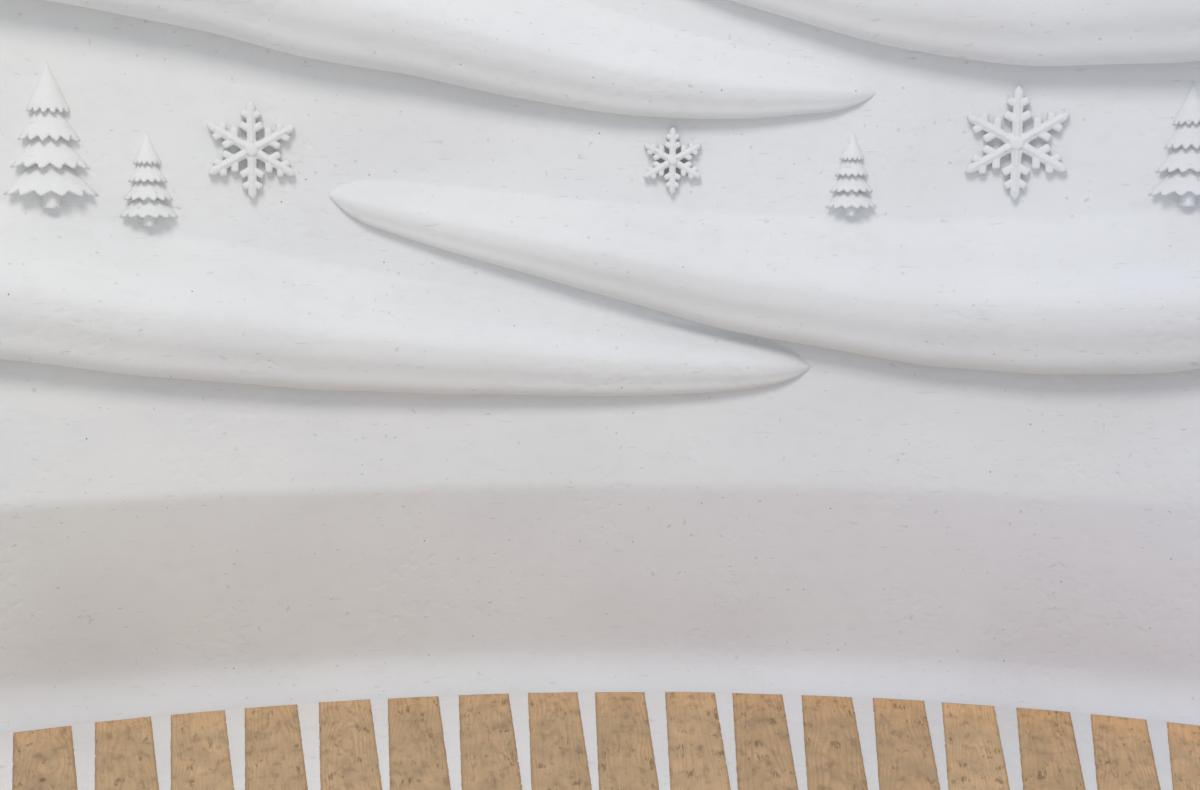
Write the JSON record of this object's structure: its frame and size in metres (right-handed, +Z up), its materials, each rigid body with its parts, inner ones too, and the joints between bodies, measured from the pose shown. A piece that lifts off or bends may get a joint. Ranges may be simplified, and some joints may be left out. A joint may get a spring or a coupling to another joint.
{
  "type": "igloo wall bay",
  "caption": "Curved bay of an igloo room's snow wall with carved relief, a foot band that falls back, a cove and a snow floor strip with bedded boards.",
  "frame": {"origin": "centre of the footprint's box, on the ground", "axes": "+Z up, +Y from the room into the wall, +X to the right for someone in the room facing the wall"},
  "size_m": [4.6307, 2.2488, 2.72],
  "materials": {
    "wall_snow": "compacted snow, smoothed by hand, matte",
    "carved_snow": "carved snow, smooth with fine tool streaks",
    "floor_snow": "trodden snow, matte",
    "boards": "planed spruce, bare and weathered"
  },
  "bodies": {
    "root": {"wall_segment_1": "wall_snow", "wall_segment_2": "wall_snow", "wall_segment_3": "wall_snow", "wall_segment_4": "wall_snow", "wall_segment_5": "wall_snow", "floor_segment_1": "floor_snow", "floor_segment_2": "floor_snow", "floor_segment_3": "floor_snow", "floor_segment_4": "floor_snow", "floor_segment_5": "floor_snow", "floor_board_1": "boards", "floor_board_2": "boards", "floor_board_3": "boards", "floor_board_4": "boards", "floor_board_5": "boards", "floor_board_6": "boards", "floor_board_7": "boards", "floor_board_8": "boards", "floor_board_9": "boards", "floor_board_10": "boards", "floor_board_11": "boards", "floor_board_12": "boards", "floor_board_13": "boards", "floor_board_14": "boards", "floor_board_15": "boards", "floor_board_16": "boards", "floor_board_17": "boards", "floor_board_18": "boards", "floor_board_19": "boards", "floor_board_20": "boards", "snowdrift_1": "carved_snow", "snowdrift_2": "carved_snow", "snowdrift_3": "carved_snow", "snowdrift_4": "carved_snow", "carved_fir_1": "carved_snow", "carved_fir_2": "carved_snow", "carved_fir_3": "carved_snow", "carved_fir_4": "carved_snow", "carved_fir_5": "carved_snow", "carved_fir_6": "carved_snow", "snow_crystal_1": "carved_snow", "snow_crystal_2": "carved_snow", "snow_crystal_3": "carved_snow", "snow_crystal_4": "carved_snow", "snow_crystal_5": "carved_snow"}
  },
  "joints": []
}
